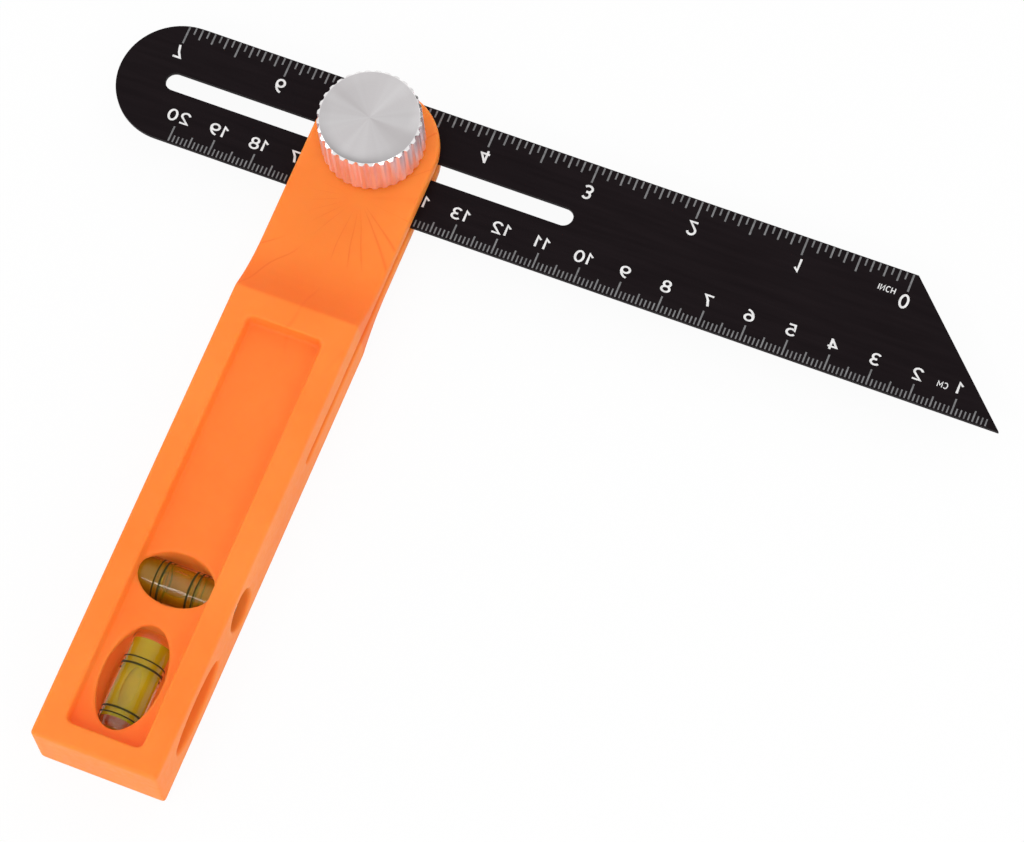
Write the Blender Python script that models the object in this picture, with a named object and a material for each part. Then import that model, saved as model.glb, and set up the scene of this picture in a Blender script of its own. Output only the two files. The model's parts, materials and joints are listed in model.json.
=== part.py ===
"""A sliding bevel: a moulded handle with two level vials, and a slotted blade clamped by a knurled knob.

Lengths are metres. The tool lies on the back of its handle, with the knob up (+Z), the handle along Y
with its butt towards -Y, and the blade square to it along X with its sharp tip at +X. The origin is the
middle of the footprint, on the surface that the tool lies on. Every piece is placed from the pivot, the
point where the clamp bolt's axis crosses the middle plane of the blade.
"""

from math import asin, cos, pi, radians, sin, tau

import bmesh
import bpy

# Fits
GAP = 0.0003
OVERRUN = 0.003
ROUND_SIDES = 40
SHARP_ANGLE = radians(35)

# Blade
BLADE_WIDTH = 0.0293
BLADE_THICKNESS = 0.0012
BLADE_TIP_REACH = 0.1558
BLADE_TAIL_REACH = 0.0638
SLOT_TIP_REACH = 0.0463
SLOT_TAIL_REACH = 0.0500

# Handle
HANDLE_WIDTH = 0.0300
HANDLE_REACH = 0.1576
GRIP_THICKNESS = 0.0170
HEAD_THICKNESS = 0.0090
HEAD_FLAT_REACH = 0.0300
RAMP_LENGTH = 0.0145
RAMP_STEPS = 6
HEAD_STEPS = 14
HANDLE_EDGE = 0.0006
FORK_REACH = 0.0760

# Pocket in each broad face of the grip; the one in the back ends before the vials
POCKET_LAND_HEAD = 0.0059
POCKET_LAND_BUTT = 0.0052
POCKET_LAND_SIDE = 0.0058
POCKET_DEPTH = 0.0030
POCKET_DRAFT = 0.0006
POCKET_CORNER = 0.0011
BACK_POCKET_TO_BUTT = 0.0560
CORNER_STEPS = 4

# Vials and their windows
VIAL_DIAMETER = 0.0096
VIAL_WALL = 0.0016
VIAL_END_WALL = 0.0020
VIAL_EDGE = 0.0012
PLUG_LENGTH = 0.0025
BUBBLE_LENGTH = 0.0060
BUBBLE_WIDTH = 0.0034
CROSS_VIAL_TO_BUTT = 0.0444
CROSS_VIAL_RECESS = 0.0020
CROSS_WINDOW_ACROSS = 0.0175
CROSS_WINDOW_MARGIN = 0.00135
LONG_VIAL_TO_BUTT = 0.0204
LONG_VIAL_LENGTH = 0.0234
LONG_WINDOW_END_MARGIN = 0.0008
LONG_WINDOW_SIDE_MARGIN = 0.0021
SIDE_WINDOW_LENGTH = 0.0226
SIDE_WINDOW_HEIGHT = 0.0086

# Clamp bolt and washers
BOLT_DIAMETER = 0.0040
BOLT_TIP_ROOM = 0.0008
BOLT_TIP_EDGE = 0.0004
BOLT_HEAD_FLATS = 0.0070
BOLT_HEAD_HEIGHT = 0.0028
BOLT_HEAD_EDGE = 0.0003
BOLT_RECESS_DEPTH = 0.0010
FRICTION_WASHER_DIAMETER = 0.0120
FRICTION_WASHER_THICKNESS = 0.0005
FLAT_WASHER_DIAMETER = 0.0120
FLAT_WASHER_THICKNESS = 0.0008
SPRING_WASHER_RIM = 0.0016
SPRING_WASHER_THICKNESS = 0.0010
SPRING_WASHER_SPLIT = 0.0008
SPRING_WASHER_SLANT = radians(20)

# Knob
KNOB_DIAMETER = 0.0240
KNOB_HEIGHT = 0.0131
KNOB_RUNNING_GAP = 0.0006
KNOB_CHAMFER = 0.0008
KNOB_ROOF = 0.0020
KNOB_WALL = 0.0035
RIDGE_COUNT = 32
RIDGE_DEPTH = 0.0005
RIDGE_SHARES = (0.0, 0.22, 0.5, 0.72)
NUT_FLATS = 0.0070
NUT_HEIGHT = 0.0032

# Sizes that follow from the ones above
BOLT_HOLE = BOLT_DIAMETER + 2 * GAP
FORK_GAP = BLADE_THICKNESS + 2 * GAP
WASHER_RECESS = FORK_GAP + 2 * (FRICTION_WASHER_THICKNESS + GAP)
CREASE_REACH = HEAD_FLAT_REACH + RAMP_LENGTH
VIAL_BORE = VIAL_DIAMETER - 2 * VIAL_WALL
VIAL_SEAT = VIAL_DIAMETER + 2 * GAP
CROSS_VIAL_LENGTH = HANDLE_WIDTH - 2 * CROSS_VIAL_RECESS
CROSS_VIAL_REACH = HANDLE_REACH - CROSS_VIAL_TO_BUTT
LONG_VIAL_REACH = HANDLE_REACH - LONG_VIAL_TO_BUTT

# Heights above the middle plane of the blade
FLAT_WASHER_Z = HEAD_THICKNESS / 2 + GAP
SPRING_WASHER_Z = FLAT_WASHER_Z + FLAT_WASHER_THICKNESS + GAP
CORE_Z = SPRING_WASHER_Z + SPRING_WASHER_THICKNESS + GAP
KNOB_Z = HEAD_THICKNESS / 2 + KNOB_RUNNING_GAP
KNOB_TOP_Z = KNOB_Z + KNOB_HEIGHT
CAVITY_TOP_Z = KNOB_TOP_Z - KNOB_ROOF
BOLT_SEAT_Z = BOLT_RECESS_DEPTH - HEAD_THICKNESS / 2

PIVOT = (
    (BLADE_TAIL_REACH - BLADE_TIP_REACH) / 2,
    (HANDLE_REACH - HANDLE_WIDTH / 2) / 2,
    GRIP_THICKNESS / 2,
)

ALONG_X = (0.0, pi / 2, 0.0)
ALONG_Y = (pi / 2, 0.0, 0.0)


# Outlines: lists of (x, y) points, anticlockwise

def ellipse(width, length, sides=ROUND_SIDES):
    turns = [tau * i / sides for i in range(sides)]
    return [(width / 2 * cos(t), length / 2 * sin(t)) for t in turns]


def circle(diameter, sides=ROUND_SIDES):
    return ellipse(diameter, diameter, sides)


def hexagon(flats):
    corners = circle(flats / cos(pi / 6), sides=6)
    return corners


def arc(centre, radius, start, end, steps):
    turns = [start + (end - start) * i / steps for i in range(steps + 1)]
    return [(centre[0] + radius * cos(t), centre[1] + radius * sin(t)) for t in turns]


def rounded_rectangle(half_x, half_y, radius):
    points = []
    for i, (side_x, side_y) in enumerate(((1, 1), (-1, 1), (-1, -1), (1, -1))):
        centre = (side_x * (half_x - radius), side_y * (half_y - radius))
        points += arc(centre, radius, i * pi / 2, (i + 1) * pi / 2, CORNER_STEPS)
    return points


def obround(left, right, width):
    """A slot's outline: its end arcs are centred on left and right."""
    return (arc((right, 0.0), width / 2, -pi / 2, pi / 2, ROUND_SIDES // 2)
            + arc((left, 0.0), width / 2, pi / 2, 3 * pi / 2, ROUND_SIDES // 2))


# Meshes and objects

def loft(name, rings):
    """Closes a stack of rings, each an outline and a height, into one solid."""
    bm = bmesh.new()
    stack = [[bm.verts.new((x, y, z)) for x, y in outline] for outline, z in rings]
    for lower, upper in zip(stack, stack[1:]):
        for i, corner in enumerate(lower):
            after = (i + 1) % len(lower)
            bm.faces.new((corner, lower[after], upper[after], upper[i]))
    bm.faces.new(reversed(stack[0]))
    bm.faces.new(stack[-1])
    return finish(bm, name)


def finish(bm, name):
    mesh = bpy.data.meshes.new(name)
    bm.to_mesh(mesh)
    bm.free()
    mesh.shade_smooth()
    mesh.set_sharp_from_angle(angle=SHARP_ANGLE)
    return mesh


def prism(name, outline, bottom, top):
    return loft(name, [(outline, bottom), (outline, top)])


def material(name, colour, roughness, metallic=0.0, transmission=0.0):
    made = bpy.data.materials.new(name)
    made.use_nodes = True
    shader = made.node_tree.nodes["Principled BSDF"]
    shader.inputs["Base Color"].default_value = (*colour, 1.0)
    shader.inputs["Roughness"].default_value = roughness
    shader.inputs["Metallic"].default_value = metallic
    shader.inputs["Transmission Weight"].default_value = transmission
    return made


def place(name, mesh, parent, location=(0.0, 0.0, 0.0), rotation=(0.0, 0.0, 0.0), surface=None):
    item = bpy.data.objects.new(name, mesh)
    item.parent = parent
    item.location = location
    item.rotation_euler = rotation
    if surface:
        mesh.materials.append(surface)
    bpy.context.scene.collection.objects.link(item)
    return item


def empty(name, parent=None, location=(0.0, 0.0, 0.0)):
    item = place(name, None, parent, location)
    item.empty_display_size = BOLT_DIAMETER
    return item


def cut(target, name, mesh, location=(0.0, 0.0, 0.0), rotation=(0.0, 0.0, 0.0)):
    """Cuts the mesh out of the target, at a place in the frame of the target's parent."""
    cutter = place(name, mesh, target.parent, location, rotation)
    cutter.hide_render = True
    cutter.display_type = "WIRE"
    step = target.modifiers.new(name, "BOOLEAN")
    step.operation = "DIFFERENCE"
    step.solver = "EXACT"
    step.object = cutter


def round_edges(target, width, segments):
    step = target.modifiers.new("edges", "BEVEL")
    step.width = width
    step.segments = segments
    step.limit_method = "ANGLE"
    step.angle_limit = SHARP_ANGLE


# Handle

def ramp():
    """Reach and half thickness at each step of the hollow ramp between the head and the grip."""
    rise = (GRIP_THICKNESS - HEAD_THICKNESS) / 2
    radius = (RAMP_LENGTH ** 2 + rise ** 2) / (2 * rise)
    sweep = asin(RAMP_LENGTH / radius)
    turns = [sweep * i / RAMP_STEPS for i in range(RAMP_STEPS + 1)]
    return [(HEAD_FLAT_REACH + radius * sin(t), HEAD_THICKNESS / 2 + radius * (1 - cos(t))) for t in turns]


def handle_blank():
    """The moulding before anything is cut out of it, head end first."""
    half = HANDLE_WIDTH / 2
    head = arc((0.0, 0.0), half, 0.0, pi, 2 * HEAD_STEPS)
    stations = ramp() + [(HANDLE_REACH, GRIP_THICKNESS / 2)]
    bm = bmesh.new()
    decks = []
    for side in (1, -1):
        round_end = [bm.verts.new((x, y, side * HEAD_THICKNESS / 2)) for x, y in head]
        right = [bm.verts.new((half, -reach, side * z)) for reach, z in stations]
        left = [bm.verts.new((-half, -reach, side * z)) for reach, z in stations]
        decks.append((round_end, right, left))
    for (round_end, right, left), side in zip(decks, (1, -1)):
        faces = [[right[0]] + round_end + [left[0]]]
        faces += [[right[i + 1], right[i], left[i], left[i + 1]] for i in range(len(stations) - 1)]
        for face in faces:
            bm.faces.new(face[::side])
    rims = [right[::-1] + round_end + left for round_end, right, left in decks]
    upper, lower = rims
    for i in range(len(upper)):
        after = (i + 1) % len(upper)
        bm.faces.new((lower[i], lower[after], upper[after], upper[i]))
    return finish(bm, "handle")


def pocket(name, length):
    """A shallow tray with drafted walls, its floor at zero height and its mouth past the face."""
    half_x = HANDLE_WIDTH / 2 - POCKET_LAND_SIDE
    half_y = length / 2
    depth = POCKET_DEPTH + OVERRUN
    flare = POCKET_DRAFT * OVERRUN / POCKET_DEPTH
    floor = rounded_rectangle(half_x - POCKET_DRAFT, half_y - POCKET_DRAFT, POCKET_CORNER)
    mouth = rounded_rectangle(half_x + flare, half_y + flare, POCKET_CORNER + POCKET_DRAFT + flare)
    return loft(name, [(floor, 0.0), (mouth, depth)])


def make_handle(pivot, plastic):
    handle = place("handle", handle_blank(), pivot, surface=plastic)
    round_edges(handle, HANDLE_EDGE, 2)

    through = GRIP_THICKNESS / 2 + OVERRUN
    across = HANDLE_WIDTH / 2 + OVERRUN
    floor_z = GRIP_THICKNESS / 2 - POCKET_DEPTH
    start = CREASE_REACH + POCKET_LAND_HEAD
    for name, to_butt, side in (("front_pocket", POCKET_LAND_BUTT, 0.0), ("back_pocket", BACK_POCKET_TO_BUTT, pi)):
        end = HANDLE_REACH - to_butt
        middle = (0.0, -(start + end) / 2, floor_z * cos(side))
        cut(handle, name, pocket(name, end - start), middle, (0.0, side, 0.0))

    front = HANDLE_WIDTH / 2 + OVERRUN
    fork = [(-across, -FORK_REACH), (across, -FORK_REACH), (across, front), (-across, front)]
    cut(handle, "fork_gap", prism("fork_gap", fork, -FORK_GAP / 2, FORK_GAP / 2))
    recess = circle(FRICTION_WASHER_DIAMETER + 2 * GAP)
    cut(handle, "washer_recess", prism("washer_recess", recess, -WASHER_RECESS / 2, WASHER_RECESS / 2))
    cut(handle, "bolt_hole", prism("bolt_hole", circle(BOLT_HOLE), -through, through))
    nest = hexagon(BOLT_HEAD_FLATS + 2 * GAP)
    cut(handle, "bolt_nest", prism("bolt_nest", nest, -through, BOLT_SEAT_Z))

    window_floor = -(VIAL_SEAT / 2 + GAP)
    cross_place = (0.0, -CROSS_VIAL_REACH, 0.0)
    cross_window = ellipse(CROSS_WINDOW_ACROSS, VIAL_DIAMETER + 2 * CROSS_WINDOW_MARGIN)
    cut(handle, "cross_bore", prism("cross_bore", circle(VIAL_SEAT), -across, across), cross_place, ALONG_X)
    cut(handle, "cross_window", prism("cross_window", cross_window, window_floor, through), cross_place)

    long_place = (0.0, -LONG_VIAL_REACH, 0.0)
    bed = LONG_VIAL_LENGTH / 2 + GAP
    long_window = ellipse(VIAL_DIAMETER + 2 * LONG_WINDOW_SIDE_MARGIN,
                          LONG_VIAL_LENGTH + 2 * LONG_WINDOW_END_MARGIN)
    side_window = ellipse(SIDE_WINDOW_HEIGHT, SIDE_WINDOW_LENGTH)
    cut(handle, "long_bore", prism("long_bore", circle(VIAL_SEAT), -bed, bed), long_place, ALONG_Y)
    cut(handle, "long_window", prism("long_window", long_window, window_floor, through), long_place)
    cut(handle, "side_window", prism("side_window", side_window, -across, across), long_place, ALONG_X)


# Blade and the friction washers that swing with it

def make_blade(pivot, anodised):
    half = BLADE_WIDTH / 2
    tail = (half - BLADE_TAIL_REACH, 0.0)
    outline = [(BLADE_TIP_REACH, -half), (BLADE_TIP_REACH - BLADE_WIDTH, half)]
    outline += arc(tail, half, pi / 2, 3 * pi / 2, ROUND_SIDES)
    thick = BLADE_THICKNESS / 2
    blade = place("blade", prism("blade", outline, -thick, thick), pivot, surface=anodised)
    slot = obround(-SLOT_TAIL_REACH, SLOT_TIP_REACH, BOLT_HOLE)
    cut(blade, "blade_slot", prism("blade_slot", slot, -OVERRUN, OVERRUN))


def washer(name, diameter, bottom, thickness, pivot, surface):
    disc = prism(name, circle(diameter), bottom, bottom + thickness)
    item = place(name, disc, pivot, surface=surface)
    hole = prism(name + "_hole", circle(BOLT_HOLE), bottom - OVERRUN, bottom + thickness + OVERRUN)
    cut(item, name + "_hole", hole)
    return item


def make_friction_washers(pivot, nylon):
    near = FORK_GAP / 2
    for name, bottom in (("friction_washer_front", near),
                         ("friction_washer_back", -near - FRICTION_WASHER_THICKNESS)):
        washer(name, FRICTION_WASHER_DIAMETER, bottom, FRICTION_WASHER_THICKNESS, pivot, nylon)


# Clamp: bolt, washers and knob

def make_bolt(pivot, steel):
    """A hexagon-head bolt, its head held in the nest in the back of the handle."""
    seat = BOLT_SEAT_Z - GAP
    end = CAVITY_TOP_Z - BOLT_TIP_ROOM
    shank = prism("clamp_bolt", circle(BOLT_DIAMETER), seat - BOLT_HEAD_HEIGHT / 2, end)
    bolt = place("clamp_bolt", shank, pivot, surface=steel)
    round_edges(bolt, BOLT_TIP_EDGE, 1)
    head_mesh = prism("bolt_head", hexagon(BOLT_HEAD_FLATS), seat - BOLT_HEAD_HEIGHT, seat)
    head = place("bolt_head", head_mesh, pivot)
    head.hide_render = True
    head.display_type = "WIRE"
    round_edges(head, BOLT_HEAD_EDGE, 1)
    step = bolt.modifiers.new("bolt_head", "BOOLEAN")
    step.operation = "UNION"
    step.solver = "EXACT"
    step.object = head


def make_washers(pivot, steel):
    washer("flat_washer", FLAT_WASHER_DIAMETER, FLAT_WASHER_Z, FLAT_WASHER_THICKNESS, pivot, steel)
    outer = BOLT_HOLE + 2 * SPRING_WASHER_RIM
    item = washer("spring_washer", outer, SPRING_WASHER_Z, SPRING_WASHER_THICKNESS, pivot, steel)
    half = SPRING_WASHER_SPLIT / 2
    reach = outer / 2 + OVERRUN
    split = [(0.0, -half), (reach, -half), (reach, half), (0.0, half)]
    middle = SPRING_WASHER_Z + SPRING_WASHER_THICKNESS / 2
    cut(item, "washer_split", prism("washer_split", split, -OVERRUN, OVERRUN),
        (0.0, 0.0, middle), (SPRING_WASHER_SLANT, 0.0, 0.0))


def ridged(diameter, depth):
    """A round outline with RIDGE_COUNT flat-topped ridges, depth high."""
    crest = diameter / 2
    radii = (crest, crest, crest - depth, crest - depth)
    points = []
    for i in range(RIDGE_COUNT):
        for share, radius in zip(RIDGE_SHARES, radii):
            turn = tau * (i + share) / RIDGE_COUNT
            points.append((radius * cos(turn), radius * sin(turn)))
    return points


def make_knob(pivot, aluminium, core_plastic, steel):
    """The knurled shell, the core pressed into it and the nut held in the core."""
    rim = KNOB_DIAMETER - 2 * KNOB_CHAMFER
    shell_mesh = loft("knob_shell", [
        (ridged(rim, 0.0), KNOB_Z),
        (ridged(KNOB_DIAMETER, RIDGE_DEPTH), KNOB_Z + KNOB_CHAMFER),
        (ridged(KNOB_DIAMETER, RIDGE_DEPTH), KNOB_TOP_Z - KNOB_CHAMFER),
        (ridged(rim, 0.0), KNOB_TOP_Z),
    ])
    shell = place("knob_shell", shell_mesh, pivot, surface=aluminium)
    cavity = circle(KNOB_DIAMETER - 2 * KNOB_WALL)
    cut(shell, "knob_cavity", prism("knob_cavity", cavity, KNOB_Z - OVERRUN, CAVITY_TOP_Z))

    core_outline = circle(KNOB_DIAMETER - 2 * KNOB_WALL - 2 * GAP)
    core_mesh = prism("knob_core", core_outline, CORE_Z, CAVITY_TOP_Z - GAP)
    core = place("knob_core", core_mesh, pivot, surface=core_plastic)
    bore = prism("core_bore", circle(BOLT_HOLE), CORE_Z - OVERRUN, CAVITY_TOP_Z + OVERRUN)
    cut(core, "core_bore", bore)
    nest = hexagon(NUT_FLATS + 2 * GAP)
    cut(core, "nut_nest", prism("nut_nest", nest, CORE_Z - OVERRUN, CORE_Z + NUT_HEIGHT + GAP))

    nut_mesh = prism("knob_nut", hexagon(NUT_FLATS), CORE_Z, CORE_Z + NUT_HEIGHT)
    nut = place("knob_nut", nut_mesh, pivot, surface=steel)
    hole = prism("nut_hole", circle(BOLT_HOLE), CORE_Z - OVERRUN, CORE_Z + NUT_HEIGHT + OVERRUN)
    cut(nut, "nut_hole", hole)


# Vials, built along +Z from the closed end to the plug

def make_vial(name, length, pivot, location, rotation, bubble_up, surfaces):
    acrylic, spirit, plug_surface = surfaces
    stand = empty(name, pivot, location)
    stand.rotation_euler = rotation
    half = length / 2
    tube_mesh = prism(name + "_tube", circle(VIAL_DIAMETER), -half, half)
    tube = place(name + "_tube", tube_mesh, stand, surface=acrylic)
    round_edges(tube, VIAL_EDGE, 2)
    bore = prism(name + "_bore", circle(VIAL_BORE), VIAL_END_WALL - half, half + OVERRUN)
    cut(tube, name + "_bore", bore)

    inner = circle(VIAL_BORE - 2 * GAP)
    plug_start = half - PLUG_LENGTH
    place(name + "_plug", prism(name + "_plug", inner, plug_start, half), stand, surface=plug_surface)
    start = VIAL_END_WALL + GAP - half
    end = plug_start - GAP
    liquid_mesh = prism(name + "_liquid", inner, start, end)
    liquid = place(name + "_liquid", liquid_mesh, stand, surface=spirit)
    hollow = bubble(name + "_bubble")
    top = (VIAL_BORE / 2 - GAP) * cos(bubble_up), (VIAL_BORE / 2 - GAP) * sin(bubble_up)
    cut(liquid, name + "_bubble", hollow, (*top, (start + end) / 2))


def bubble(name):
    """The space that the air bubble takes at the top of the liquid."""
    bm = bmesh.new()
    bmesh.ops.create_icosphere(bm, subdivisions=3, radius=BUBBLE_WIDTH / 2)
    bmesh.ops.scale(bm, vec=(1.0, 1.0, BUBBLE_LENGTH / BUBBLE_WIDTH), verts=bm.verts)
    return finish(bm, name)


def build():
    for item in list(bpy.data.objects):
        bpy.data.objects.remove(item, do_unlink=True)

    orange = material("orange_plastic", (1.0, 0.21, 0.035), 0.42)
    black = material("black_anodised", (0.010, 0.008, 0.009), 0.38, metallic=0.4)
    spun = material("spun_aluminium", (0.62, 0.60, 0.60), 0.30, metallic=1.0)
    steel = material("zinc_steel", (0.55, 0.55, 0.56), 0.35, metallic=1.0)
    nylon = material("nylon", (0.75, 0.74, 0.70), 0.5)
    core_plastic = material("black_plastic", (0.02, 0.02, 0.02), 0.5)
    acrylic = material("clear_acrylic", (0.90, 0.92, 0.80), 0.05, transmission=1.0)
    spirit = material("spirit", (0.62, 0.60, 0.05), 0.05, transmission=0.8)
    stopper = material("clear_stopper", (0.80, 0.78, 0.72), 0.2, transmission=0.6)

    pivot = empty("pivot", location=PIVOT)
    make_handle(pivot, orange)
    make_blade(pivot, black)
    make_friction_washers(pivot, nylon)
    make_bolt(pivot, steel)
    make_washers(pivot, steel)
    make_knob(pivot, spun, core_plastic, steel)
    surfaces = (acrylic, spirit, stopper)
    make_vial("cross_vial", CROSS_VIAL_LENGTH, pivot, (0.0, -CROSS_VIAL_REACH, 0.0), ALONG_X, pi, surfaces)
    make_vial("long_vial", LONG_VIAL_LENGTH, pivot, (0.0, -LONG_VIAL_REACH, 0.0), ALONG_Y, pi / 2, surfaces)


build()
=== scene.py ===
"""Looks of the sliding bevel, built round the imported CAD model.

Lengths are metres. Most pieces are laid out from the pivot, where the clamp bolt's axis crosses the
middle plane of the blade: X towards the sharp tip, Y towards the rounded head, Z towards the knob.
"""

import json
from math import cos, pi, radians, sin, sqrt, tau

import bmesh
import bpy
from mathutils import Matrix, Vector

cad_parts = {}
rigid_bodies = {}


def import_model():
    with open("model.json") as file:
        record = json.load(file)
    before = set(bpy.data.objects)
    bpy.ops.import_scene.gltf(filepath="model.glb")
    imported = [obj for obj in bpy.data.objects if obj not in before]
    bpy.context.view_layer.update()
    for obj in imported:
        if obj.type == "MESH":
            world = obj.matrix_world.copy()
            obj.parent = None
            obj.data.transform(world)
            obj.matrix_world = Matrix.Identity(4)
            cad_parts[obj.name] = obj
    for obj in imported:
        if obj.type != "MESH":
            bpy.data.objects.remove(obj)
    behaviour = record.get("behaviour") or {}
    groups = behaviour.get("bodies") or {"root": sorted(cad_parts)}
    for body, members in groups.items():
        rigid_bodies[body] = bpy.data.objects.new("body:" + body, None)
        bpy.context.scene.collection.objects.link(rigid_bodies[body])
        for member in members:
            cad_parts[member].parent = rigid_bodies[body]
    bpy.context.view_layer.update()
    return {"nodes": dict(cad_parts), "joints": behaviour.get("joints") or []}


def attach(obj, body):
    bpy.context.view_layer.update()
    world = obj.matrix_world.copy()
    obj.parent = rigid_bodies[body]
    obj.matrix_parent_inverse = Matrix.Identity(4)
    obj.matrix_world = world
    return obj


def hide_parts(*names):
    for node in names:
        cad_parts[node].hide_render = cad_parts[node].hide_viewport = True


for item in list(bpy.data.objects):
    bpy.data.objects.remove(item, do_unlink=True)

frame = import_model()

MM = 0.001
WELD_REACH = 0.001 * MM

# The printed scales read backwards in the photograph, which is a mirror image of the tool
NUMERALS_MIRRORED = True

# Sizes of the CAD model that the pieces here are laid out from
PIVOT = Vector(frame["joints"][0]["pos_m"])
BLADE_TOP = 0.6 * MM
BLADE_HALF = 14.65 * MM
BLADE_TAIL = -49.15 * MM
BLADE_EDGE = 0.15 * MM

# Scales
CM_ZERO = 154.42 * MM
CM_COUNT = 20
INCH_ZERO = 125.47 * MM
INCH_COUNT = 7
INCH = 25.4 * MM
PRINT_HEIGHT = 0.03 * MM
TICK_START = 0.2 * MM
CM_TICKS = {10: (4.1 * MM, 0.40 * MM), 5: (2.85 * MM, 0.38 * MM), 1: (1.95 * MM, 0.34 * MM)}
INCH_TICKS = {16: (4.65 * MM, 0.44 * MM), 8: (4.1 * MM, 0.44 * MM), 4: (3.0 * MM, 0.42 * MM),
              2: (3.0 * MM, 0.42 * MM), 1: (2.0 * MM, 0.38 * MM)}
# Breadth and height of the box that a character's strokes are shares of
CM_NUMERAL = (4.15 * MM, 3.1 * MM)
CM_NUMERAL_MIDDLE = 6.7 * MM
INCH_NUMERAL = (3.95 * MM, 3.7 * MM)
INCH_NUMERAL_MIDDLE = 7.15 * MM
UNIT_NAME = (1.7 * MM, 1.6 * MM)
# Place of each unit's name, along from the scale's zero and inwards from the blade's edge
INCH_NAME_PLACE = (4.6 * MM, 5.6 * MM)
CM_NAME_PLACE = (14.0 * MM, 6.2 * MM)
STROKE_SHARE = 0.135
LETTER_GAP_SHARE = 0.14

# Knob
KNOB_BOTTOM = 5.1 * MM
KNOB_TOP = 18.2 * MM
KNOB_RADIUS = 12.0 * MM
KNOB_CAVITY = 8.5 * MM
KNOB_CAVITY_TOP = 16.2 * MM
KNOB_RIDGES = 32
RIDGE_DEPTH = 0.5 * MM
RIDGE_SAMPLES = 16
KNOB_CHAMFER = 0.54 * MM
KNOB_CHAMFER_DROP = 0.45 * MM
KNOB_LIP = 0.03 * MM

# Vials, measured along their own axis from the closed end to the plug
VIAL_RADIUS = 4.8 * MM
VIAL_BORE = 3.2 * MM
VIAL_SIDES = 96
VIAL_FLOOR = 2.0 * MM
VIAL_DOME = 2.2 * MM
VIAL_DOME_NARROWING = 1.3 * MM
PLUG_LENGTH = 2.5 * MM
PLUG_RECESS = 0.2 * MM
LINE_WIDTH = 0.5 * MM
THIN_LINE = 0.34 * MM
LINE_HEIGHT = 0.03 * MM
WETTING = 0.02 * MM
ALONG_X = Matrix.Rotation(pi / 2, 4, "Y")
ALONG_Y = Matrix.Rotation(pi / 2, 4, "X")

# Handle: where its painted shade, redder and darker on the ramp and in the pocket, and the flow lines from
# the gate begin and end
HANDLE_VOXEL = 0.36 * MM
POCKET_BUTT_EDGE = (-153.2 * MM, -152.6 * MM)
POCKET_HEAD_EDGE = (-50.4 * MM, -50.0 * MM)
POCKET_SIDE_EDGE = (9.3 * MM, 10.1 * MM)
POCKET_MOUTH = (6.0 * MM, 8.0 * MM)
POCKET_BUTT_SHADE = (-151.5 * MM, -140.0 * MM)
RAMP_CREASE = (-44.9 * MM, -44.1 * MM)
RAMP_SHADE = (-41.0 * MM, -29.0 * MM)
FLOW_START = (2.0 * MM, 6.0 * MM)
FLOW_END = (28.0 * MM, 46.0 * MM)
GATE = Vector((2.0 * MM, -13.6 * MM, 0.0))

# Camera, fitted to the blade's graduations and placed from the pivot
CAMERA_OFFSET = Vector((0.224625, -0.368241, 0.899416))
CAMERA_TURN = (0.379020, 0.044545, 0.381483)
CAMERA_LENS = 152.904


# Node materials

def node(tree, kind, inputs=None, **settings):
    made = tree.nodes.new(kind)
    for name, value in settings.items():
        setattr(made, name, value)
    for name, value in (inputs or {}).items():
        if isinstance(value, bpy.types.NodeSocket):
            tree.links.new(value, made.inputs[name])
        else:
            made.inputs[name].default_value = value
    return made


def start_material(name, **constants):
    made = bpy.data.materials.new(name)
    made.use_nodes = True
    shader = made.node_tree.nodes["Principled BSDF"]
    for socket, value in constants.items():
        shader.inputs[socket.replace("_", " ")].default_value = value
    coords = made.node_tree.nodes.new("ShaderNodeTexCoord").outputs["Object"]
    return made, made.node_tree, shader, coords


def noise(tree, coords, scale, detail=3.0, stretch=None):
    if stretch:
        coords = node(tree, "ShaderNodeMapping", {"Vector": coords, "Scale": stretch}).outputs[0]
    made = node(tree, "ShaderNodeTexNoise", {"Vector": coords, "Scale": scale, "Detail": detail})
    return made.outputs["Fac"]


def spread(tree, value, low, high, start=0.3, end=0.7):
    inputs = {"Value": value, "From Min": start, "From Max": end, "To Min": low, "To Max": high}
    return node(tree, "ShaderNodeMapRange", inputs).outputs[0]


def between(tree, value, dark, light):
    made = node(tree, "ShaderNodeMix", data_type="RGBA")
    tree.links.new(value, made.inputs[0])
    for socket, colour in ((made.inputs[6], dark), (made.inputs[7], light)):
        if isinstance(colour, bpy.types.NodeSocket):
            tree.links.new(colour, socket)
        else:
            socket.default_value = (*colour, 1.0)
    return made.outputs[2]


def maths(tree, operation, first, second=None):
    made = node(tree, "ShaderNodeMath", operation=operation)
    for socket, value in zip(made.inputs, (first, second)):
        if isinstance(value, bpy.types.NodeSocket):
            tree.links.new(value, socket)
        elif value is not None:
            socket.default_value = value
    return made.outputs[0]


def from_point(tree, coords, point):
    """The three coordinates, counted from a point."""
    shifted = node(tree, "ShaderNodeVectorMath", {0: coords, 1: point}, operation="SUBTRACT").outputs[0]
    return node(tree, "ShaderNodeSeparateXYZ", {0: shifted}).outputs


def flat_reach(tree, parts):
    """The distance from that point, seen along Z."""
    squares = [maths(tree, "MULTIPLY", parts[axis], parts[axis]) for axis in "XY"]
    return maths(tree, "SQRT", maths(tree, "ADD", *squares))


def relief(tree, shader, height, distance, strength=1.0):
    made = node(tree, "ShaderNodeBump", {"Height": height, "Distance": distance, "Strength": strength})
    tree.links.new(made.outputs[0], shader.inputs["Normal"])


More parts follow.
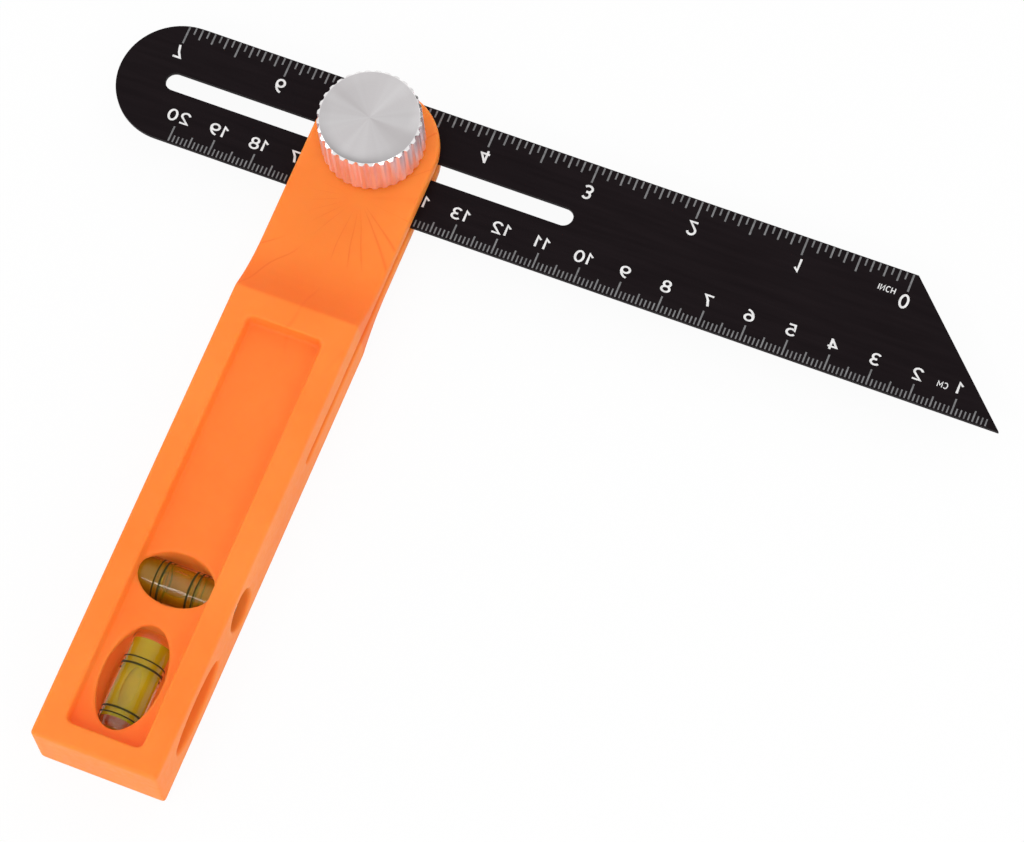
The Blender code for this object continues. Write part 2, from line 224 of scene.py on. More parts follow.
def orange_plastic():
    """Satin moulded plastic: clouds in the pigment, painted shade that turns it redder and darker on the ramp
    and in the pocket, most towards the pocket's butt end, a fine grain, and flow lines that fan out from the
    gate in front of the knob."""
    made, tree, shader, coords = start_material(
        "orange_plastic", IOR=1.47, Specular_IOR_Level=0.22, Subsurface_Weight=0.5,
        Subsurface_Radius=(1.0, 0.22, 0.06), Subsurface_Scale=3.0 * MM)
    cloud = noise(tree, coords, 45.0, 4.0)
    pigment = between(tree, spread(tree, cloud, 0.0, 1.0), (0.95, 0.225, 0.030), (1.0, 0.265, 0.043))

    place = from_point(tree, coords, PIVOT)
    across = maths(tree, "ABSOLUTE", place["X"])
    up = maths(tree, "ABSOLUTE", place["Z"])
    in_grip = maths(tree, "MULTIPLY", spread(tree, place["Y"], 0.0, 1.0, *POCKET_BUTT_EDGE),
                    spread(tree, place["Y"], 1.0, 0.0, *POCKET_HEAD_EDGE))
    in_pocket = maths(tree, "MULTIPLY", spread(tree, across, 1.0, 0.0, *POCKET_SIDE_EDGE),
                      spread(tree, up, 1.0, 0.0, *POCKET_MOUTH))
    in_pocket = maths(tree, "MULTIPLY", in_grip, in_pocket)
    # Painted shade: the pigment is pulled towards a redder, darker orange in the pocket, most near its butt
    # end, and on the ramp next to the crease, where shade falls.
    deep = maths(tree, "MULTIPLY", in_pocket, spread(tree, place["Y"], 0.75, 0.2, *POCKET_BUTT_SHADE))
    ramp = maths(tree, "MULTIPLY", spread(tree, place["Y"], 0.0, 0.5, *RAMP_CREASE),
                 spread(tree, place["Y"], 1.0, 0.0, *RAMP_SHADE))
    pigment = between(tree, maths(tree, "MAXIMUM", deep, ramp), pigment, (0.93, 0.125, 0.016))

    parts = from_point(tree, coords, PIVOT + GATE)
    turn = maths(tree, "ARCTAN2", parts["Y"], parts["X"])
    wobble = maths(tree, "MULTIPLY", noise(tree, coords, 60.0, 1.0), 0.3)
    fan = node(tree, "ShaderNodeTexNoise", {"W": maths(tree, "ADD", turn, wobble), "Scale": 2.1,
                                           "Detail": 0.0}, noise_dimensions="1D").outputs["Fac"]
    ridge = maths(tree, "ABSOLUTE", maths(tree, "SUBTRACT", fan, 0.5))
    line = maths(tree, "MULTIPLY", spread(tree, ridge, 1.0, 0.0, 0.0, 0.018),
                 spread(tree, noise(tree, coords, 55.0, 1.0), 0.0, 1.0, 0.43, 0.55))
    reach = flat_reach(tree, parts)
    fade = maths(tree, "MULTIPLY", spread(tree, reach, 0.0, 1.0, *FLOW_START),
                 spread(tree, reach, 1.0, 0.0, *FLOW_END))
    flow = maths(tree, "MULTIPLY", line, fade)
    facing = node(tree, "ShaderNodeSeparateXYZ", {0: node(tree, "ShaderNodeNewGeometry").outputs["Normal"]})
    flow = maths(tree, "MULTIPLY", flow, spread(tree, facing.outputs["Z"], 0.0, 1.0, 0.5, 0.9))

    pigment = between(tree, maths(tree, "MULTIPLY", flow, 0.55), pigment, (0.86, 0.13, 0.018))
    tree.links.new(pigment, shader.inputs["Base Color"])
    tree.links.new(spread(tree, noise(tree, coords, 700.0), 0.46, 0.58), shader.inputs["Roughness"])
    grain = maths(tree, "SUBTRACT", noise(tree, coords, 2600.0, 2.0), maths(tree, "MULTIPLY", flow, 1.5))
    relief(tree, shader, grain, 0.02 * MM, 0.6)
    return made


def black_anodised():
    made, tree, shader, coords = start_material("black_anodised", Specular_IOR_Level=0.05)
    grain = noise(tree, coords, 60.0, 5.0, (1.0, 14.0, 14.0))
    colour = between(tree, spread(tree, grain, 0.0, 1.0), (0.0068, 0.0040, 0.0050), (0.0100, 0.0064, 0.0076))
    tree.links.new(colour, shader.inputs["Base Color"])
    tree.links.new(spread(tree, grain, 0.42, 0.55), shader.inputs["Roughness"])
    relief(tree, shader, noise(tree, coords, 1500.0, 2.0, (0.2, 1.0, 1.0)), 0.004 * MM)
    return made


def printed(name, worn, full):
    """Ink on the blade. The graduations are so fine that their ink is thin and reads grey."""
    made, tree, shader, coords = start_material(name, Specular_IOR_Level=0.2)
    wear = noise(tree, coords, 900.0, 4.0)
    colour = between(tree, spread(tree, wear, 0.0, 1.0), worn, full)
    tree.links.new(colour, shader.inputs["Base Color"])
    tree.links.new(spread(tree, wear, 0.5, 0.65), shader.inputs["Roughness"])
    return made


def spun_aluminium():
    """The knob's face: fine rings left by the lathe, which draw its highlights out into fan shapes; its
    colour also has painted highlights, lighter and darker sectors round the axis.
    """
    made, tree, shader, coords = start_material("spun_aluminium", Metallic=1.0, Anisotropic=0.85)
    parts = from_point(tree, coords, PIVOT)
    radius = flat_reach(tree, parts)
    rings = node(tree, "ShaderNodeTexNoise", {"W": radius, "Scale": 7000.0, "Detail": 3.0},
                 noise_dimensions="1D").outputs["Fac"]
    # Painted highlights: lighter and darker sectors round the axis, mixed into the colour with the lathe
    # rings.
    turn = maths(tree, "ARCTAN2", parts["Y"], parts["X"])
    painted_highlight_sectors = node(tree, "ShaderNodeTexNoise", {"W": turn, "Scale": 1.3, "Detail": 2.0},
                noise_dimensions="1D").outputs["Fac"]
    tone = maths(tree, "ADD", maths(tree, "MULTIPLY", rings, 0.2), maths(tree, "MULTIPLY", painted_highlight_sectors, 0.8))
    colour = between(tree, spread(tree, tone, 0.0, 1.0), (0.550, 0.522, 0.528), (0.675, 0.658, 0.664))
    tree.links.new(colour, shader.inputs["Base Color"])
    tree.links.new(spread(tree, rings, 0.29, 0.34), shader.inputs["Roughness"])
    tangent = node(tree, "ShaderNodeTangent", direction_type="RADIAL", axis="Z")
    tree.links.new(tangent.outputs[0], shader.inputs["Tangent"])
    relief(tree, shader, rings, 0.004 * MM, 0.5)
    return made


def cut_aluminium(name, dark, light, roughness):
    """The turned rim, left bright by the tool, and the duller ridges pressed in the knob's side, whose pink
    tint, given where that material is made, is a painted reflection of the orange handle.
    """
    made, tree, shader, coords = start_material(name, Metallic=1.0)
    marks = noise(tree, coords, 500.0, 4.0, (1.0, 1.0, 0.15))
    colour = between(tree, spread(tree, marks, 0.0, 1.0), dark, light)
    tree.links.new(colour, shader.inputs["Base Color"])
    low, high = roughness
    tree.links.new(spread(tree, marks, low, high), shader.inputs["Roughness"])
    relief(tree, shader, marks, 0.006 * MM, 0.4)
    return made


def zinc_steel():
    made, tree, shader, coords = start_material("zinc_steel", Metallic=1.0)
    crystals = node(tree, "ShaderNodeTexVoronoi", {"Vector": coords, "Scale": 1400.0}).outputs["Distance"]
    stain = noise(tree, coords, 350.0, 4.0)
    colour = between(tree, spread(tree, stain, 0.0, 1.0), (0.50, 0.50, 0.51), (0.66, 0.66, 0.66))
    tree.links.new(colour, shader.inputs["Base Color"])
    tree.links.new(spread(tree, stain, 0.25, 0.42), shader.inputs["Roughness"])
    relief(tree, shader, crystals, 0.01 * MM, 0.3)
    return made


def dull_plastic(name, dark, light, roughness, shine=0.5):
    made, tree, shader, coords = start_material(name, Specular_IOR_Level=shine)
    cloud = noise(tree, coords, 300.0, 4.0)
    tree.links.new(between(tree, spread(tree, cloud, 0.0, 1.0), dark, light), shader.inputs["Base Color"])
    low, high = roughness
    tree.links.new(spread(tree, cloud, low, high), shader.inputs["Roughness"])
    relief(tree, shader, noise(tree, coords, 2500.0, 2.0), 0.01 * MM, 0.4)
    return made


def clear(name, dark, light, ior, roughness, weight=1.0, shine=0.5):
    """Clear mouldings and the spirit: nearly even, with a faint waviness."""
    made, tree, shader, coords = start_material(
        name, Transmission_Weight=weight, IOR=ior, Specular_IOR_Level=shine)
    cloud = noise(tree, coords, 260.0, 2.0)
    tree.links.new(between(tree, spread(tree, cloud, 0.0, 1.0), dark, light), shader.inputs["Base Color"])
    low, high = roughness
    tree.links.new(spread(tree, cloud, low, high), shader.inputs["Roughness"])
    relief(tree, shader, cloud, 0.02 * MM, 0.25)
    return made


ORANGE = orange_plastic()
BLACK = black_anodised()
WHITE = printed("white_print", (0.64, 0.635, 0.63), (0.86, 0.855, 0.85))
GREY = printed("grey_print", (0.13, 0.13, 0.133), (0.22, 0.22, 0.224))
SPUN = spun_aluminium()
BRIGHT = cut_aluminium("bright_aluminium", (0.74, 0.72, 0.72), (0.92, 0.90, 0.90), (0.10, 0.20))
# Painted reflection: the ridged side's metal is tinted pink to stand in for the orange handle mirrored in it;
# from other sides it still looks pink where plain aluminium would look grey.
RIDGED_PAINTED_REFLECTION = cut_aluminium("ridged_aluminium_painted_reflection", (0.88, 0.70, 0.75), (0.98, 0.82, 0.87), (0.44, 0.54))
STEEL = zinc_steel()
NYLON = dull_plastic("nylon", (0.66, 0.65, 0.61), (0.78, 0.77, 0.73), (0.45, 0.6))
CORE = dull_plastic("black_plastic", (0.014, 0.014, 0.015), (0.026, 0.026, 0.026), (0.45, 0.6))
LINES = dull_plastic("vial_line_paint", (0.026, 0.026, 0.006), (0.044, 0.042, 0.011), (0.4, 0.55), 0.1)
ACRYLIC = clear("clear_acrylic", (0.95, 0.93, 0.78), (0.98, 0.97, 0.88), 1.35, (0.0, 0.04), 1.0, 0.14)
SPIRIT = clear("spirit", (0.62, 0.53, 0.010), (0.74, 0.63, 0.016), 1.24, (0.0, 0.02), 0.6, 0.06)
# Painted light: the cross vial holds the same yellow spirit, tinted amber to stand in for the handle's orange
# light seen through it.
SPIRIT_PAINTED_ORANGE = clear("spirit_painted_orange_light", (0.66, 0.44, 0.016), (0.78, 0.54, 0.026), 1.24, (0.0, 0.02), 0.78, 0.06)
STOPPER = clear("clear_stopper", (0.84, 0.80, 0.74), (0.92, 0.89, 0.84), 1.45, (0.05, 0.15), 1.0, 0.35)


# Objects

def piece(name, mesh, surfaces, body, replaces=()):
    made = bpy.data.objects.new(name, mesh)
    bpy.context.scene.collection.objects.link(made)
    for surface in surfaces:
        mesh.materials.append(surface)
    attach(made, body)
    if replaces:
        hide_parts(*replaces)
    return made


def finish(bm, name, sharp=35.0):
    bmesh.ops.recalc_face_normals(bm, faces=bm.faces)
    mesh = bpy.data.meshes.new(name)
    bm.to_mesh(mesh)
    bm.free()
    mesh.shade_smooth()
    mesh.set_sharp_from_angle(angle=radians(sharp))
    return mesh


def shaped(mesh, steps):
    """A mesh after a list of modifiers, each given as its type and settings."""
    item = bpy.data.objects.new("shaping", mesh)
    bpy.context.scene.collection.objects.link(item)
    for kind, settings in steps:
        step = item.modifiers.new(kind, kind)
        for name, value in settings.items():
            setattr(step, name, value)
    graph = bpy.context.evaluated_depsgraph_get()
    made = bpy.data.meshes.new_from_object(item.evaluated_get(graph))
    bpy.data.objects.remove(item, do_unlink=True)
    return made


def welded(node_name):
    """A CAD node's mesh as a closed bmesh."""
    bm = bmesh.new()
    bm.from_mesh(frame["nodes"][node_name].data)
    bmesh.ops.remove_doubles(bm, verts=bm.verts, dist=WELD_REACH)
    return bm


def circle(bm, radius, height, sides, matrix):
    turns = [tau * i / sides for i in range(sides)]
    return [bm.verts.new(matrix @ Vector((radius * cos(t), radius * sin(t), height))) for t in turns]


def turned(bm, profile, sides, matrix):
    """Adds a closed solid, turned about Z. Its profile of (radius, height) starts and ends on the axis."""
    rings = [circle(bm, radius, height, sides if radius else 1, matrix) for radius, height in profile]
    for lower, upper in zip(rings, rings[1:]):
        for i in range(sides):
            after = (i + 1) % sides
            corners = [lower[i % len(lower)], lower[after % len(lower)],
                       upper[after % len(upper)], upper[i % len(upper)]]
            bm.faces.new(list(dict.fromkeys(corners)))


# Handle: the CAD solid with its edges and corners softened, as a moulding has them

def make_handle():
    bm = welded("handle")
    mesh = bpy.data.meshes.new("handle_moulding")
    bm.to_mesh(mesh)
    bm.free()
    soft = shaped(mesh, [
        ("REMESH", {"mode": "VOXEL", "voxel_size": HANDLE_VOXEL, "adaptivity": 0.0}),
        ("SMOOTH", {"factor": 0.5, "iterations": 10}),
    ])
    soft.materials.clear()
    soft.shade_smooth()
    soft.name = "handle_moulding"
    piece("handle_moulding", soft, [ORANGE], "stock", ["handle"])


# Blade and its printed scales

def make_blade():
    bm = welded("blade")
    bmesh.ops.dissolve_limit(bm, angle_limit=radians(0.5), verts=bm.verts, edges=bm.edges)
    mesh = finish(bm, "blade_plate")
    mesh.materials.clear()
    item = piece("blade_plate", mesh, [BLACK], "blade", ["blade"])
    edge = item.modifiers.new("edges", "BEVEL")
    edge.width = BLADE_EDGE
    edge.segments = 2
    edge.limit_method = "ANGLE"
    edge.angle_limit = radians(30)


def bend(cx, cy, rx, ry, start, end, steps):
    turns = [radians(start + (end - start) * i / steps) for i in range(steps + 1)]
    return [(cx + rx * cos(t), cy + ry * sin(t)) for t in turns]


def ring(cx, cy, rx, ry):
    return bend(cx, cy, rx, ry, 0, 337.5, 15) + ["closed"]


# Strokes of each character, in shares of its box
SIX = [ring(0.31, 0.32, 0.23, 0.24),
       [(0.08, 0.32), (0.09, 0.48), (0.14, 0.64), (0.22, 0.77), (0.33, 0.87), (0.47, 0.92)]]
STROKE_SHARES = {
    "0": [ring(0.31, 0.5, 0.23, 0.42)],
    "1": [[(0.08, 0.70), (0.29, 0.92), (0.29, 0.08)]],
    "2": [bend(0.31, 0.68, 0.23, 0.24, 165, -28, 10) + [(0.09, 0.08), (0.54, 0.08)]],
    "3": [bend(0.29, 0.705, 0.21, 0.215, 150, -90, 10) + [(0.22, 0.49)],
          [(0.22, 0.51)] + bend(0.29, 0.295, 0.24, 0.215, 90, -150, 10)],
    "4": [[(0.43, 0.08), (0.43, 0.92)], [(0.45, 0.90), (0.08, 0.31), (0.58, 0.31)]],
    "5": [[(0.51, 0.92), (0.17, 0.92), (0.12, 0.50)] + bend(0.29, 0.33, 0.24, 0.25, 120, -150, 11)],
    "6": SIX,
    "7": [[(0.08, 0.92), (0.54, 0.92), (0.34, 0.55), (0.24, 0.08)]],
    "8": [ring(0.31, 0.71, 0.19, 0.21), ring(0.31, 0.29, 0.23, 0.22)],
    "9": [[p if p == "closed" else (0.62 - p[0], 1.0 - p[1]) for p in stroke] for stroke in SIX],
    "I": [[(0.08, 0.08), (0.08, 0.92)]],
    "N": [[(0.08, 0.08), (0.08, 0.92), (0.56, 0.08), (0.56, 0.92)]],
    "C": [bend(0.36, 0.5, 0.28, 0.42, 50, 310, 12)],
    "H": [[(0.08, 0.08), (0.08, 0.92)], [(0.08, 0.5), (0.56, 0.5)], [(0.56, 0.08), (0.56, 0.92)]],
    "M": [[(0.08, 0.08), (0.08, 0.92), (0.38, 0.35), (0.68, 0.92), (0.68, 0.08)]],
}


def ribbon(stroke, width):
    """The outline of a stroke as its two sides: lists of points that run alongside it."""
    closed = stroke[-1] == "closed"
    points = [Vector(p) for p in stroke if p != "closed"]
    left, right = [], []
    for i, point in enumerate(points):
        before = points[i - 1] if closed or i else None
        after = points[(i + 1) % len(points)] if closed or i + 1 < len(points) else None
        steps = [(a, b) for a, b in ((before, point), (point, after)) if a is not None and b is not None]
        ways = [(b - a).normalized() for a, b in steps]
        normals = [Vector((-w.y, w.x)) for w in ways]
        middle = sum(normals, Vector((0.0, 0.0))).normalized()
        reach = width / 2 / max(middle.dot(normals[0]), 0.55)
        left.append(point + middle * reach)
        right.append(point - middle * reach)
    return left, right, closed


def stroke_mesh(stroke, width):
    """A closed slab, one unit high, with the outline of one stroke."""
    left, right, closed = ribbon(stroke, width)
    bm = bmesh.new()
    rows = [[bm.verts.new((p.x, p.y, z)) for p in side] for side, z in
            ((left, 0.0), (right, 0.0), (right, 1.0), (left, 1.0))]
    count = len(left)
    for i in range(count if closed else count - 1):
        after = (i + 1) % count
        for one, other in zip(rows, rows[1:] + rows[:1]):
            bm.faces.new((one[i], one[after], other[after], other[i]))
    if not closed:
        bm.faces.new([row[0] for row in rows])
        bm.faces.new([row[-1] for row in rows])
    return finish(bm, "stroke")


def glyph_mesh(character):
    strokes = [stroke_mesh(stroke, STROKE_SHARE) for stroke in STROKE_SHARES[character]]
    for other in strokes[1:]:
        helper = bpy.data.objects.new("stroke", other)
        bpy.context.scene.collection.objects.link(helper)
        union = ("BOOLEAN", {"operation": "UNION", "solver": "EXACT", "object": helper})
        strokes[0] = shaped(strokes[0], [union])
        bpy.data.objects.remove(helper, do_unlink=True)
    return strokes[0]


GLYPHS = {character: glyph_mesh(character) for character in STROKE_SHARES}
WIDTH_SHARES = {character: max(v.co.x for v in mesh.vertices) for character, mesh in GLYPHS.items()}


def print_text(bm, text, size, middle, flips):
    """Adds a word centred on a point. flips are the signs of its two directions."""
    breadth, height = size
    total = sum(WIDTH_SHARES[c] for c in text) + LETTER_GAP_SHARE * (len(text) - 1)
    along = -total / 2
    for character in text:
        mesh = GLYPHS[character]
        spots = []
        for vertex in mesh.vertices:
            x = middle[0] + flips[0] * (along + vertex.co.x) * breadth
            y = middle[1] + flips[1] * (vertex.co.y - 0.5) * height
            spots.append(bm.verts.new((x, y, BLADE_TOP + vertex.co.z * PRINT_HEIGHT)))
        for face in mesh.polygons:
            bm.faces.new([spots[i] for i in face.vertices])
        along += WIDTH_SHARES[character] + LETTER_GAP_SHARE


def print_tick(bm, x, start, end, width):
    """Adds one graduation between two distances across the blade."""
    corners = [(x - width / 2, start), (x + width / 2, start), (x + width / 2, end), (x - width / 2, end)]
    lower = [bm.verts.new((px, py, BLADE_TOP)) for px, py in corners]
    upper = [bm.verts.new((px, py, BLADE_TOP + PRINT_HEIGHT)) for px, py in corners]
    bm.faces.new(lower)
    bm.faces.new(upper)
    for i in range(4):
        after = (i + 1) % 4
        bm.faces.new((lower[i], lower[after], upper[after], upper[i]))


def kind_of(count, ticks):
    return next(ticks[step] for step in sorted(ticks, reverse=True) if count % step == 0)


def make_print():
    ticks = bmesh.new()
    for count in range(2, CM_COUNT * 10 + 1):
        length, width = kind_of(count, CM_TICKS)
        print_tick(ticks, CM_ZERO - count * MM, TICK_START - BLADE_HALF, length - BLADE_HALF, width)
    for count in range(INCH_COUNT * 16 + 1):
        x = INCH_ZERO - count * INCH / 16
        past = max(0.0, BLADE_TAIL - x)
        edge = sqrt(BLADE_HALF ** 2 - past ** 2)
        length, width = kind_of(count, INCH_TICKS)
        print_tick(ticks, x, edge - TICK_START, edge - length, width)
    bmesh.ops.translate(ticks, verts=ticks.verts, vec=PIVOT)
    piece("blade_graduations", finish(ticks, "blade_graduations"), [GREY], "blade")

    words = bmesh.new()
    cm_flips = (-1, 1) if NUMERALS_MIRRORED else (1, 1)
    inch_flips = (1, -1) if NUMERALS_MIRRORED else (-1, -1)
    for count in range(1, CM_COUNT + 1):
        spot = (CM_ZERO - count * 10 * MM, CM_NUMERAL_MIDDLE - BLADE_HALF)
        print_text(words, str(count), CM_NUMERAL, spot, cm_flips)
    for count in range(INCH_COUNT + 1):
        spot = (INCH_ZERO - count * INCH, BLADE_HALF - INCH_NUMERAL_MIDDLE)
        print_text(words, str(count), INCH_NUMERAL, spot, inch_flips)
    along, inwards = INCH_NAME_PLACE
    print_text(words, "INCH", UNIT_NAME, (INCH_ZERO - along, BLADE_HALF - inwards), inch_flips)
    along, inwards = CM_NAME_PLACE
    print_text(words, "CM", UNIT_NAME, (CM_ZERO - along, inwards - BLADE_HALF), cm_flips)
    bmesh.ops.translate(words, verts=words.verts, vec=PIVOT)
    piece("blade_numerals", finish(words, "blade_numerals"), [WHITE], "blade")


# Knob

def ridge_share(turn):
    """How deep the groove is at this share of one ridge's pitch, from 0 on the crest to 1."""
    crest, slope = 0.30, 0.26
    if turn < crest:
        return 0.0
    if turn < crest + slope:
        return (1 - cos(pi * (turn - crest) / slope)) / 2
    if turn < 1 - slope:
        return 1.0
    return (1 + cos(pi * (turn - 1 + slope) / slope)) / 2


def make_knob():
    bm = bmesh.new()
    sides = KNOB_RIDGES * RIDGE_SAMPLES
    grooves = [RIDGE_DEPTH * ridge_share(i % RIDGE_SAMPLES / RIDGE_SAMPLES) for i in range(sides)]

    def ring_at(limit, height):
        radii = [min(KNOB_RADIUS - groove, limit) for groove in grooves]
        return [bm.verts.new((r * cos(tau * i / sides), r * sin(tau * i / sides), height))
                for i, r in enumerate(radii)]

    steps = 6
    rim = KNOB_RADIUS - KNOB_CHAMFER
    rings = [ring_at(KNOB_CAVITY, KNOB_CAVITY_TOP), ring_at(KNOB_CAVITY, KNOB_BOTTOM)]
    rings += [ring_at(rim + KNOB_CHAMFER * i / steps, KNOB_BOTTOM + KNOB_CHAMFER * i / steps)
              for i in range(steps + 1)]
    side_end = len(rings)
    rings += [ring_at(rim + KNOB_CHAMFER * i / steps, KNOB_TOP - KNOB_CHAMFER_DROP * i / steps)
              for i in range(steps, -1, -1)]
    rings += [ring_at(rim - KNOB_LIP, KNOB_TOP), ring_at(rim - 3 * KNOB_LIP, KNOB_TOP - KNOB_LIP)]
    rim_end = len(rings) - 1
    rings += [ring_at(rim * share, KNOB_TOP - KNOB_LIP) for share in (0.75, 0.5, 0.25, 0.08)]
    for index, (lower, upper) in enumerate(zip(rings, rings[1:])):
        for i in range(sides):
            after = (i + 1) % sides
            face = bm.faces.new((lower[i], lower[after], upper[after], upper[i]))
            face.material_index = (index >= side_end) + (index >= rim_end)
    bm.faces.new(rings[-1]).material_index = 2
    bm.faces.new(rings[0][::-1])
    bmesh.ops.remove_doubles(bm, verts=bm.verts, dist=WELD_REACH / 2)
    bmesh.ops.translate(bm, verts=bm.verts, vec=PIVOT)
    mesh = finish(bm, "knob_turned", 30.0)
    piece("knob_turned", mesh, [RIDGED_PAINTED_REFLECTION, BRIGHT, SPUN], "knob", ["knob_shell"])


# Vials

def vial_profile(length):
    half = length / 2
    steps = 8
    closed = [(VIAL_RADIUS - VIAL_DOME_NARROWING * (1 - sin(pi / 2 * i / steps)),
               VIAL_DOME * (1 - cos(pi / 2 * i / steps)) - half) for i in range(steps + 1)]
    plugged = [(radius, -height) for radius, height in reversed(closed)]
    return ([(0, -half)] + closed + plugged
            + [(VIAL_BORE, half), (VIAL_BORE, VIAL_FLOOR - half), (0, VIAL_FLOOR - half)])


def make_vial(name, length, centre, turn, lines, bubble_up, bubble, spirit):
    """One level vial. bubble_up is the turn about its axis at which the bubble lies, towards the knob's side,
    and bubble holds its radius, its depth, half its length and its place along the axis."""
    matrix = Matrix.Translation(PIVOT + centre) @ turn
    half = length / 2
    bm = bmesh.new()
    turned(bm, vial_profile(length), VIAL_SIDES, matrix)
    glass = piece(name + "_glass", finish(bm, name + "_glass"), [ACRYLIC], "stock",
                  [name + "_tube"])
    glass.visible_shadow = False

    wet = VIAL_BORE + WETTING
    plug_start = half - PLUG_LENGTH
    bm = bmesh.new()
    turned(bm, [(0, VIAL_FLOOR - WETTING - half), (wet, VIAL_FLOOR - WETTING - half),
                (wet, plug_start), (0, plug_start)], VIAL_SIDES, matrix)
    fluid = finish(bm, name + "_fluid")
    hollow = bmesh.new()
    bmesh.ops.create_uvsphere(hollow, u_segments=32, v_segments=20, radius=1.0)
    radius, depth, bubble_half, middle = bubble
    top = VIAL_BORE - depth
    sizes = Matrix.Diagonal((radius, radius, bubble_half, 1.0))
    spot = Matrix.Translation((top * cos(bubble_up), top * sin(bubble_up), middle))
    bmesh.ops.transform(hollow, matrix=matrix @ spot @ sizes, verts=hollow.verts)
    helper = bpy.data.objects.new("bubble", finish(hollow, "bubble"))
    bpy.context.scene.collection.objects.link(helper)
    fluid = shaped(fluid, [("BOOLEAN", {"operation": "DIFFERENCE", "solver": "EXACT", "object": helper})])
    bpy.data.objects.remove(helper, do_unlink=True)
    fluid.shade_smooth()
    fluid.set_sharp_from_angle(angle=radians(35))
    filling = piece(name + "_fluid", fluid, [spirit], "stock", [name + "_liquid"])
    filling.visible_shadow = False

    bm = bmesh.new()
    turned(bm, [(0, plug_start + WETTING), (wet, plug_start + WETTING), (wet, half - PLUG_RECESS),
                (0, half - PLUG_RECESS)], VIAL_SIDES, matrix)
    end = piece(name + "_stopper", finish(bm, name + "_stopper"), [STOPPER], "stock",
                [name + "_plug"])
    end.visible_shadow = False

    bm = bmesh.new()
    for place, width in lines:
        band = [(VIAL_RADIUS + LINE_HEIGHT * up, place + width * along / 2)
                for up, along in ((-1, -1), (1, -1), (1, 1), (-1, 1))]
        rings = [circle(bm, r, z, VIAL_SIDES, matrix) for r, z in band]
        for lower, upper in zip(rings, rings[1:] + rings[:1]):
            for i in range(VIAL_SIDES):
                after = (i + 1) % VIAL_SIDES
                bm.faces.new((lower[i], lower[after], upper[after], upper[i]))
    piece(name + "_lines", finish(bm, name + "_lines"), [LINES], "stock")


def surface_node(name, surface):
    data = frame["nodes"][name].data
    data.materials.clear()
    data.materials.append(surface)


make_handle()
make_blade()
make_print()
make_knob()
make_vial("cross_vial", length=26.0 * MM, centre=Vector((0.0, -113.2 * MM, 0.0)), turn=ALONG_X,
          lines=[(-4.75 * MM, THIN_LINE), (-3.4 * MM, LINE_WIDTH),
                 (3.4 * MM, LINE_WIDTH), (4.75 * MM, THIN_LINE)],
          bubble_up=pi, bubble=(2.5 * MM, 1.3 * MM, 3.9 * MM, 0.0), spirit=SPIRIT_PAINTED_ORANGE)
make_vial("long_vial", length=23.4 * MM, centre=Vector((0.0, -137.2 * MM, 0.0)), turn=ALONG_Y,
          lines=[(-4.9 * MM, THIN_LINE), (-3.3 * MM, LINE_WIDTH),
                 (7.3 * MM, LINE_WIDTH), (8.7 * MM, THIN_LINE)],
          bubble_up=pi / 2, bubble=(1.7 * MM, 0.9 * MM, 5.9 * MM, 2.0 * MM), spirit=SPIRIT)
for name, surface in (("friction_washer_front", NYLON), ("friction_washer_back", NYLON),
                      ("clamp_bolt", STEEL), ("flat_washer", STEEL), ("spring_washer", STEEL),
                      ("knob_core", CORE), ("knob_nut", STEEL)):
    surface_node(name, surface)


# Floor, light and camera

def seen_rays(tree):
    """The kinds of ray, and whether one shows the studio straight, mirrored or through glass."""
    paths = tree.nodes.new("ShaderNodeLightPath").outputs
    seen = maths(tree, "MAXIMUM", paths["Is Camera Ray"],
                 maths(tree, "MAXIMUM", paths["Is Glossy Ray"], paths["Is Transmission Ray"]))
    return paths, seen


def make_floor():
    bm = bmesh.new()
    steps = 12
    size = 4.0
    bmesh.ops.create_grid(bm, x_segments=steps, y_segments=steps, size=size)
    bmesh.ops.translate(bm, verts=bm.verts, vec=(0.0, 0.0, -0.1 * MM))
    mesh = bpy.data.meshes.new("floor")
    bm.to_mesh(mesh)
    bm.free()
    floor = bpy.data.objects.new("floor", mesh)
    bpy.context.scene.collection.objects.link(floor)
    made = bpy.data.materials.new("floor")
    made.use_nodes = True
    tree = made.node_tree
    tree.nodes.clear()
    seen = seen_rays(tree)[1]
    paper = node(tree, "ShaderNodeBsdfDiffuse", {"Color": (0.86, 0.86, 0.86, 1.0)})
    glow = node(tree, "ShaderNodeEmission", {"Color": (1.0, 1.0, 1.0, 1.0), "Strength": 1.0})
    mix = node(tree, "ShaderNodeMixShader", {0: maths(tree, "MULTIPLY", seen, 0.94)})
    tree.links.new(paper.outputs[0], mix.inputs[1])
    tree.links.new(glow.outputs[0], mix.inputs[2])
    out = tree.nodes.new("ShaderNodeOutputMaterial")
    tree.links.new(mix.outputs[0], out.inputs["Surface"])
    mesh.materials.append(made)


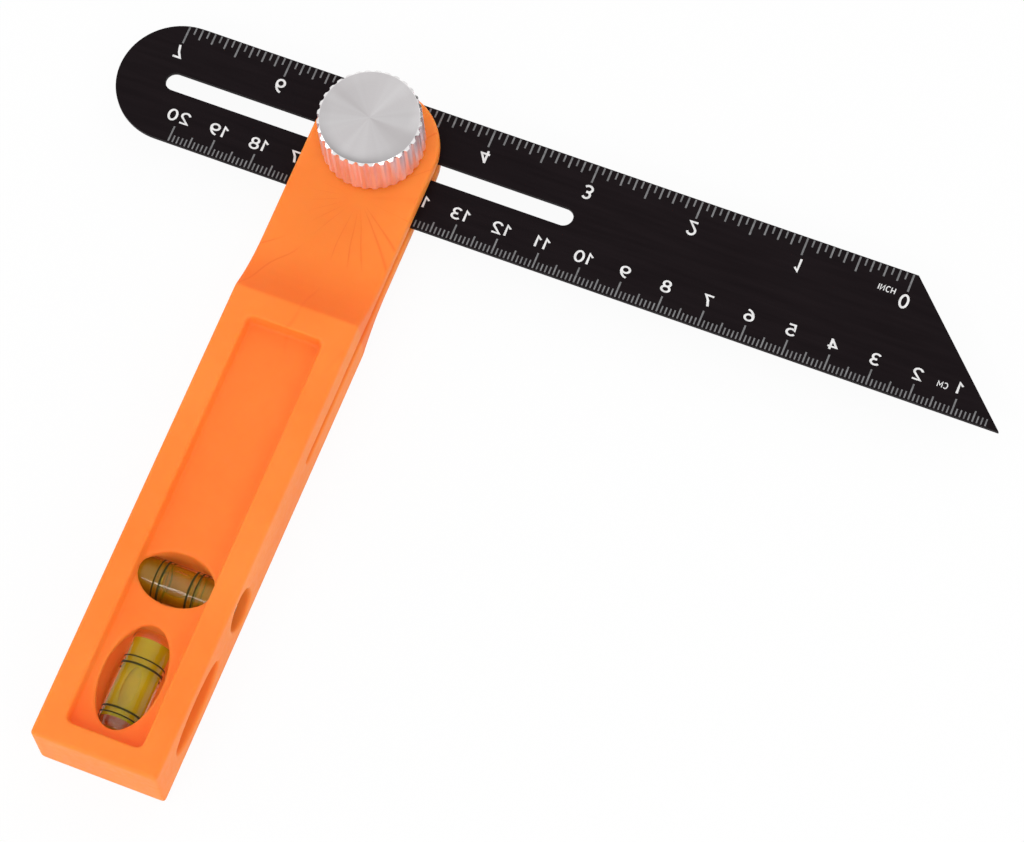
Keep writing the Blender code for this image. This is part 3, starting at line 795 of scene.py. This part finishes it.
def make_world():
    """An even white studio. Metal and glass also mirror its two darker sides, behind and above the tool."""
    world = bpy.data.worlds.new("studio")
    bpy.context.scene.world = world
    world.use_nodes = True
    tree = world.node_tree
    tree.nodes.clear()
    paths, seen = seen_rays(tree)
    way = tree.nodes.new("ShaderNodeTexCoord").outputs["Generated"]
    behind = spread(tree, node(tree, "ShaderNodeSeparateXYZ", {0: way}).outputs["Y"], 0.0, 0.85, 0.55, 0.85)
    facing = node(tree, "ShaderNodeVectorMath", {0: way, 1: (0.0, -0.38, 0.925)}, operation="DOT_PRODUCT")
    above = spread(tree, facing.outputs["Value"], 0.0, 0.35, 0.95, 0.985)
    dark = maths(tree, "MULTIPLY", paths["Is Glossy Ray"], maths(tree, "MAXIMUM", behind, above))
    strength = maths(tree, "ADD", maths(tree, "MULTIPLY", seen, 0.16), 0.84)
    strength = maths(tree, "SUBTRACT", strength, dark)
    sky = node(tree, "ShaderNodeBackground", {"Color": (1.0, 1.0, 1.0, 1.0), "Strength": strength})
    out = tree.nodes.new("ShaderNodeOutputWorld")
    tree.links.new(sky.outputs[0], out.inputs["Surface"])


def make_lamp(name, place, breadth, height, power):
    data = bpy.data.lights.new(name, "AREA")
    data.shape = "RECTANGLE"
    data.size = breadth
    data.size_y = height
    data.energy = power
    lamp = bpy.data.objects.new(name, data)
    lamp.location = place
    lamp.rotation_euler = (-Vector(place)).to_track_quat("-Z", "Y").to_euler()
    bpy.context.scene.collection.objects.link(lamp)
    return lamp


def make_camera():
    data = bpy.data.cameras.new("camera")
    data.lens = CAMERA_LENS
    data.sensor_width = 36.0
    data.sensor_fit = "HORIZONTAL"
    data.clip_start = 0.05
    data.clip_end = 20.0
    camera = bpy.data.objects.new("camera", data)
    camera.location = PIVOT + CAMERA_OFFSET
    camera.rotation_euler = CAMERA_TURN
    bpy.context.scene.collection.objects.link(camera)
    bpy.context.scene.camera = camera


make_floor()
make_world()
make_lamp("key", (0.75, -0.6, 0.45), 0.6, 0.6, 1.9)
make_lamp("strip", (-0.27, -0.76, 0.92), 0.5, 0.14, 1.9)
make_lamp("front", (-0.27, -1.04, 0.53), 0.25, 0.25, 0.9).visible_glossy = False
make_lamp("fill", (-0.95, -0.35, 0.2), 0.5, 0.5, 1.5)
make_lamp("back", (0.1, 0.9, 0.6), 0.5, 0.5, 1.5).visible_glossy = False
make_camera()
bpy.context.scene.view_settings.view_transform = "Standard"
